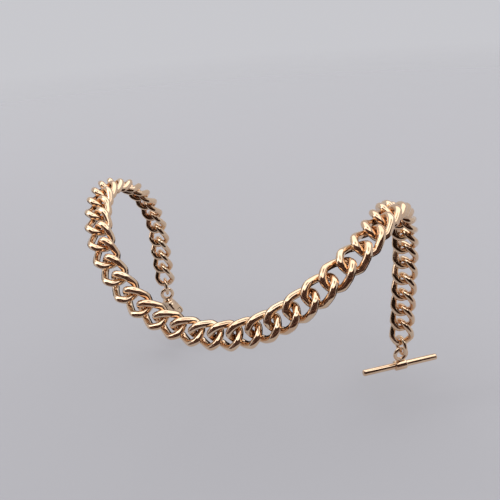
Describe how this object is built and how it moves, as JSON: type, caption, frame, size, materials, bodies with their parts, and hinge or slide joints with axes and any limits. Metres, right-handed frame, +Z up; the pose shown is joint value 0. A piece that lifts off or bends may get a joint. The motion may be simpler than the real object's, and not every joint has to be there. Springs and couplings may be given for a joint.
{
  "type": "pocket watch chain",
  "caption": "Gold curb-link pocket watch chain with a sprung swivel hook at one end and a T-bar at the other, draped in a swag over a display bar.",
  "frame": {"origin": "on the axis of the padded bar that the chain is laid over, straight behind the middle link of the swag", "axes": "+X along the bar, towards the T-bar's end of the chain; +Y backwards, away from the swag; +Z up"},
  "size_m": [0.1106, 0.0705, 0.0783],
  "materials": {
    "chain_gold": "polished, lightly worn gold",
    "fitting_gold": "polished, lightly worn gold",
    "spring_steel": "satin spring steel"
  },
  "bodies": {
    "curb_link_01": {"curb_link_01": "chain_gold"},
    "curb_link_02": {"curb_link_02": "chain_gold"},
    "curb_link_03": {"curb_link_03": "chain_gold"},
    "curb_link_04": {"curb_link_04": "chain_gold"},
    "curb_link_05": {"curb_link_05": "chain_gold"},
    "curb_link_06": {"curb_link_06": "chain_gold"},
    "curb_link_07": {"curb_link_07": "chain_gold"},
    "curb_link_08": {"curb_link_08": "chain_gold"},
    "curb_link_09": {"curb_link_09": "chain_gold"},
    "curb_link_10": {"curb_link_10": "chain_gold"},
    "curb_link_11": {"curb_link_11": "chain_gold"},
    "curb_link_12": {"curb_link_12": "chain_gold"},
    "curb_link_13": {"curb_link_13": "chain_gold"},
    "curb_link_14": {"curb_link_14": "chain_gold"},
    "curb_link_15": {"curb_link_15": "chain_gold"},
    "curb_link_16": {"curb_link_16": "chain_gold"},
    "curb_link_17": {"curb_link_17": "chain_gold"},
    "curb_link_18": {"curb_link_18": "chain_gold"},
    "curb_link_19": {"curb_link_19": "chain_gold"},
    "curb_link_20": {"curb_link_20": "chain_gold"},
    "curb_link_21": {"curb_link_21": "chain_gold"},
    "curb_link_22": {"curb_link_22": "chain_gold"},
    "curb_link_23": {"curb_link_23": "chain_gold"},
    "curb_link_24": {"curb_link_24": "chain_gold"},
    "curb_link_25": {"curb_link_25": "chain_gold"},
    "curb_link_26": {"curb_link_26": "chain_gold"},
    "curb_link_27": {"curb_link_27": "chain_gold"},
    "curb_link_28": {"curb_link_28": "chain_gold"},
    "curb_link_29": {"curb_link_29": "chain_gold"},
    "curb_link_30": {"curb_link_30": "chain_gold"},
    "curb_link_31": {"curb_link_31": "chain_gold"},
    "curb_link_32": {"curb_link_32": "chain_gold"},
    "curb_link_33": {"curb_link_33": "chain_gold"},
    "curb_link_34": {"curb_link_34": "chain_gold"},
    "curb_link_35": {"curb_link_35": "chain_gold"},
    "curb_link_36": {"curb_link_36": "chain_gold"},
    "curb_link_37": {"curb_link_37": "chain_gold"},
    "curb_link_38": {"curb_link_38": "chain_gold"},
    "curb_link_39": {"curb_link_39": "chain_gold"},
    "curb_link_40": {"curb_link_40": "chain_gold"},
    "curb_link_41": {"curb_link_41": "chain_gold"},
    "curb_link_42": {"curb_link_42": "chain_gold"},
    "curb_link_43": {"curb_link_43": "chain_gold"},
    "curb_link_44": {"curb_link_44": "chain_gold"},
    "curb_link_45": {"curb_link_45": "chain_gold"},
    "curb_link_46": {"curb_link_46": "chain_gold"},
    "curb_link_47": {"curb_link_47": "chain_gold"},
    "swivel_jump_ring": {"swivel_jump_ring": "fitting_gold"},
    "swivel_eye": {"swivel_eye": "fitting_gold"},
    "swivel_hook": {"swivel_hook": "fitting_gold", "gate_pin": "fitting_gold", "gate_spring": "spring_steel"},
    "swivel_gate": {"swivel_gate": "fitting_gold"},
    "t_bar_jump_ring": {"t_bar_jump_ring": "fitting_gold"},
    "t_bar": {"t_bar_loop": "fitting_gold", "t_bar_sleeve": "fitting_gold", "t_bar_arm": "fitting_gold"}
  },
  "joints": [
    {"name": "curb_link_01_bend", "type": "hinge", "parent": "curb_link_02", "child": "curb_link_01", "pos_m": [-0.054, 0.02929, -0.0135], "axis": [-1, 0, 0], "range_deg": [-18, 18]},
    {"name": "curb_link_02_bend", "type": "hinge", "parent": "curb_link_03", "child": "curb_link_02", "pos_m": [-0.054, 0.02929, -0.0077], "axis": [0, 1, 0], "range_deg": [-11, 11]},
    {"name": "curb_link_03_bend", "type": "hinge", "parent": "curb_link_04", "child": "curb_link_03", "pos_m": [-0.054, 0.02928, -0.0019], "axis": [1, 0, -0.0001], "range_deg": [-16, 20]},
    {"name": "curb_link_04_bend", "type": "hinge", "parent": "curb_link_05", "child": "curb_link_04", "pos_m": [-0.054, 0.02889, 0.00387], "axis": [0.0001, -0.9912, -0.1327], "range_deg": [-11.2, 10.8]},
    {"name": "curb_link_05_bend", "type": "hinge", "parent": "curb_link_06", "child": "curb_link_05", "pos_m": [-0.05397, 0.02756, 0.00947], "axis": [-0.9999, -0.0043, 0.01], "range_deg": [-29.3, 6.7]},
    {"name": "curb_link_06_bend", "type": "hinge", "parent": "curb_link_07", "child": "curb_link_06", "pos_m": [-0.05383, 0.02516, 0.01471], "axis": [-0.0004, 0.8633, 0.5047], "range_deg": [-10.6, 11.4]},
    {"name": "curb_link_07_bend", "type": "hinge", "parent": "curb_link_08", "child": "curb_link_07", "pos_m": [-0.05362, 0.02178, 0.01937], "axis": [0.9995, 0.0214, -0.0233], "range_deg": [-6.7, 29.3]},
    {"name": "curb_link_08_bend", "type": "hinge", "parent": "curb_link_09", "child": "curb_link_08", "pos_m": [-0.05339, 0.01755, 0.02327], "axis": [0.0014, -0.602, -0.7985], "range_deg": [-12.6, 9.4]},
    {"name": "curb_link_09_bend", "type": "hinge", "parent": "curb_link_10", "child": "curb_link_09", "pos_m": [-0.05298, 0.01264, 0.02626], "axis": [-0.9952, -0.0895, 0.0394], "range_deg": [-29.2, 6.8]},
    {"name": "curb_link_10_bend", "type": "hinge", "parent": "curb_link_11", "child": "curb_link_10", "pos_m": [-0.05216, 0.00729, 0.02822], "axis": [-0.0056, 0.2492, 0.9684], "range_deg": [-4.1, 17.9]},
    {"name": "curb_link_11_bend", "type": "hinge", "parent": "curb_link_12", "child": "curb_link_11", "pos_m": [-0.05071, 0.0018, 0.0291], "axis": [0.9516, 0.307, -0.0135], "range_deg": [-7.7, 28.3]},
    {"name": "curb_link_12_bend", "type": "hinge", "parent": "curb_link_13", "child": "curb_link_12", "pos_m": [-0.04863, -0.00357, 0.02895], "axis": [0.0032, 0.1238, -0.9923], "range_deg": [-15.8, 6.2]},
    {"name": "curb_link_13_bend", "type": "hinge", "parent": "curb_link_14", "child": "curb_link_13", "pos_m": [-0.04608, -0.00864, 0.02787], "axis": [-0.8841, -0.4456, -0.1404], "range_deg": [-26.8, 9.2]},
    {"name": "curb_link_14_bend", "type": "hinge", "parent": "curb_link_15", "child": "curb_link_14", "pos_m": [-0.04323, -0.01329, 0.02598], "axis": [-0.0015, -0.4562, 0.8899], "range_deg": [-8.2, 13.8]},
    {"name": "curb_link_15_bend", "type": "hinge", "parent": "curb_link_16", "child": "curb_link_15", "pos_m": [-0.04012, -0.01743, 0.02342], "axis": [0.8295, 0.4469, 0.335], "range_deg": [-10.2, 25.8]},
    {"name": "curb_link_16_bend", "type": "hinge", "parent": "curb_link_17", "child": "curb_link_16", "pos_m": [-0.03673, -0.02095, 0.02034], "axis": [0.0016, 0.7184, -0.6956], "range_deg": [-14.7, 7.3]},
    {"name": "curb_link_17_bend", "type": "hinge", "parent": "curb_link_18", "child": "curb_link_17", "pos_m": [-0.03303, -0.02381, 0.01693], "axis": [-0.7459, -0.3841, -0.5441], "range_deg": [-24.3, 11.7]},
    {"name": "curb_link_18_bend", "type": "hinge", "parent": "curb_link_19", "child": "curb_link_18", "pos_m": [-0.02897, -0.02596, 0.01342], "axis": [-0.0017, -0.8892, 0.4575], "range_deg": [-4.7, 17.3]},
    {"name": "curb_link_19_bend", "type": "hinge", "parent": "curb_link_20", "child": "curb_link_19", "pos_m": [-0.02449, -0.02745, 0.01009], "axis": [0.5816, 0.2785, 0.7643], "range_deg": [-14.2, 21.8]},
    {"name": "curb_link_20_bend", "type": "hinge", "parent": "curb_link_21", "child": "curb_link_20", "pos_m": [-0.01956, -0.02836, 0.00721], "axis": [0.0007, 0.9695, -0.2452], "range_deg": [-19.4, 2.6]},
    {"name": "curb_link_21_bend", "type": "hinge", "parent": "curb_link_22", "child": "curb_link_21", "pos_m": [-0.01425, -0.02884, 0.005], "axis": [-0.3217, -0.1609, -0.9331], "range_deg": [-19.2, 16.8]},
    {"name": "curb_link_22_bend", "type": "hinge", "parent": "curb_link_23", "child": "curb_link_22", "pos_m": [-0.00865, -0.02906, 0.0036], "axis": [0, -0.9924, 0.1227], "range_deg": [-1.7, 20.3]},
    {"name": "curb_link_23_bend", "type": "hinge", "parent": "curb_link_24", "child": "curb_link_23", "pos_m": [-0.0029, -0.02913, 0.00309], "axis": [0.0118, 0.1055, 0.9943], "range_deg": [-18, 18]},
    {"name": "curb_link_25_bend", "type": "hinge", "parent": "curb_link_24", "child": "curb_link_25", "pos_m": [0.00287, -0.02908, 0.00345], "axis": [-0.1371, 0.1165, 0.9837], "range_deg": [-18.2, 17.8]},
    {"name": "curb_link_26_bend", "type": "hinge", "parent": "curb_link_25", "child": "curb_link_26", "pos_m": [0.00851, -0.0289, 0.00467], "axis": [0.0002, -0.9873, 0.1589], "range_deg": [-20.6, 1.4]},
    {"name": "curb_link_27_bend", "type": "hinge", "parent": "curb_link_26", "child": "curb_link_27", "pos_m": [0.01388, -0.02847, 0.00676], "axis": [0.4428, -0.2055, -0.8727], "range_deg": [-15.8, 20.2]},
    {"name": "curb_link_28_bend", "type": "hinge", "parent": "curb_link_27", "child": "curb_link_28", "pos_m": [0.01886, -0.02764, 0.00956], "axis": [-0.0012, 0.9456, -0.3254], "range_deg": [-3.5, 18.5]},
    {"name": "curb_link_29_bend", "type": "hinge", "parent": "curb_link_28", "child": "curb_link_29", "pos_m": [0.02341, -0.02626, 0.01284], "axis": [-0.6632, 0.3266, 0.6734], "range_deg": [-23, 13]},
    {"name": "curb_link_30_bend", "type": "hinge", "parent": "curb_link_29", "child": "curb_link_30", "pos_m": [0.02753, -0.02421, 0.01634], "axis": [0.0021, -0.8299, 0.558], "range_deg": [-16.9, 5.1]},
    {"name": "curb_link_31_bend", "type": "hinge", "parent": "curb_link_30", "child": "curb_link_31", "pos_m": [0.03121, -0.02143, 0.01983], "axis": [0.8052, -0.4003, -0.4374], "range_deg": [-10.7, 25.3]},
    {"name": "curb_link_32_bend", "type": "hinge", "parent": "curb_link_31", "child": "curb_link_32", "pos_m": [0.03436, -0.01786, 0.02308], "axis": [-0.005, 0.6143, -0.7891], "range_deg": [-2.3, 19.7]},
    {"name": "curb_link_33_bend", "type": "hinge", "parent": "curb_link_32", "child": "curb_link_33", "pos_m": [0.03675, -0.01345, 0.02588], "axis": [-0.9435, 0.2902, 0.1602], "range_deg": [-28.1, 7.9]},
    {"name": "curb_link_34_bend", "type": "hinge", "parent": "curb_link_33", "child": "curb_link_34", "pos_m": [0.03822, -0.0083, 0.02795], "axis": [0.0057, -0.2856, 0.9583], "range_deg": [-17.9, 4.1]},
    {"name": "curb_link_35_bend", "type": "hinge", "parent": "curb_link_34", "child": "curb_link_35", "pos_m": [0.03899, -0.0027, 0.02902], "axis": [0.9957, -0.0918, -0.0115], "range_deg": [-6.7, 29.3]},
    {"name": "curb_link_36_bend", "type": "hinge", "parent": "curb_link_35", "child": "curb_link_36", "pos_m": [0.03937, 0.00305, 0.02899], "axis": [-0.0019, -0.1046, -0.9945], "range_deg": [-8.8, 13.2]},
    {"name": "curb_link_37_bend", "type": "hinge", "parent": "curb_link_36", "child": "curb_link_37", "pos_m": [0.03954, 0.00869, 0.02782], "axis": [-0.9999, 0.016, -0.0042], "range_deg": [-29.3, 6.7]},
    {"name": "curb_link_38_bend", "type": "hinge", "parent": "curb_link_37", "child": "curb_link_38", "pos_m": [0.0396, 0.01399, 0.02557], "axis": [0, 0.4801, 0.8772], "range_deg": [-11, 11]},
    {"name": "curb_link_39_bend", "type": "hinge", "parent": "curb_link_38", "child": "curb_link_39", "pos_m": [0.03966, 0.01875, 0.02232], "axis": [0.9999, -0.008, 0.0069], "range_deg": [-6.7, 29.3]},
    {"name": "curb_link_40_bend", "type": "hinge", "parent": "curb_link_39", "child": "curb_link_40", "pos_m": [0.03973, 0.02277, 0.01819], "axis": [0.0003, -0.7813, -0.6241], "range_deg": [-11.3, 10.7]},
    {"name": "curb_link_41_bend", "type": "hinge", "parent": "curb_link_40", "child": "curb_link_41", "pos_m": [0.03983, 0.02591, 0.01336], "axis": [-0.9999, 0.0058, -0.01], "range_deg": [-29.3, 6.7]},
    {"name": "curb_link_42_bend", "type": "hinge", "parent": "curb_link_41", "child": "curb_link_42", "pos_m": [0.03989, 0.02803, 0.008], "axis": [0.0002, 0.9616, 0.2744], "range_deg": [-11.3, 10.7]},
    {"name": "curb_link_43_bend", "type": "hinge", "parent": "curb_link_42", "child": "curb_link_43", "pos_m": [0.0399, 0.02906, 0.00233], "axis": [1, -0.0001, 0.0005], "range_deg": [-7.7, 28.3]},
    {"name": "curb_link_44_bend", "type": "hinge", "parent": "curb_link_43", "child": "curb_link_44", "pos_m": [0.0399, 0.02929, -0.00346], "axis": [0, -1, 0], "range_deg": [-11, 11]},
    {"name": "curb_link_45_bend", "type": "hinge", "parent": "curb_link_44", "child": "curb_link_45", "pos_m": [0.0399, 0.02929, -0.00926], "axis": [-1, 0, 0], "range_deg": [-18, 18]},
    {"name": "curb_link_46_bend", "type": "hinge", "parent": "curb_link_45", "child": "curb_link_46", "pos_m": [0.0399, 0.02929, -0.01506], "axis": [0, 1, 0], "range_deg": [-11, 11]},
    {"name": "curb_link_47_bend", "type": "hinge", "parent": "curb_link_46", "child": "curb_link_47", "pos_m": [0.0399, 0.02929, -0.02086], "axis": [1, 0, 0], "range_deg": [-18, 18]},
    {"name": "swivel_jump_ring_swing", "type": "hinge", "parent": "curb_link_01", "child": "swivel_jump_ring", "pos_m": [-0.054, 0.02929, -0.02042], "axis": [0.7635, 0.6458, 0], "range_deg": [-32, 32]},
    {"name": "swivel_eye_swing", "type": "hinge", "parent": "swivel_jump_ring", "child": "swivel_eye", "pos_m": [-0.054, 0.02929, -0.02445], "axis": [0.6458, -0.7635, 0], "range_deg": [-35, 35]},
    {"name": "swivel_turn", "type": "hinge", "parent": "swivel_eye", "child": "swivel_hook", "pos_m": [-0.054, 0.02929, -0.02903], "axis": [0, 0, 1], "continuous": true},
    {"name": "swivel_gate_opening", "type": "hinge", "parent": "swivel_hook", "child": "swivel_gate", "pos_m": [-0.0502, 0.02929, -0.03263], "axis": [0, 1, 0], "range_deg": [0, 28], "stiffness_Nm_per_rad": 0.01, "springref_deg": -17.19, "deforming": ["gate_spring"]},
    {"name": "t_bar_jump_ring_swing", "type": "hinge", "parent": "curb_link_47", "child": "t_bar_jump_ring", "pos_m": [0.0399, 0.02929, -0.02778], "axis": [-0.7635, -0.6458, 0], "range_deg": [-32, 32]},
    {"name": "t_bar_swing", "type": "hinge", "parent": "t_bar_jump_ring", "child": "t_bar", "pos_m": [0.0399, 0.02929, -0.03181], "axis": [-0.6458, 0.7635, 0], "range_deg": [-50, 50]}
  ]
}
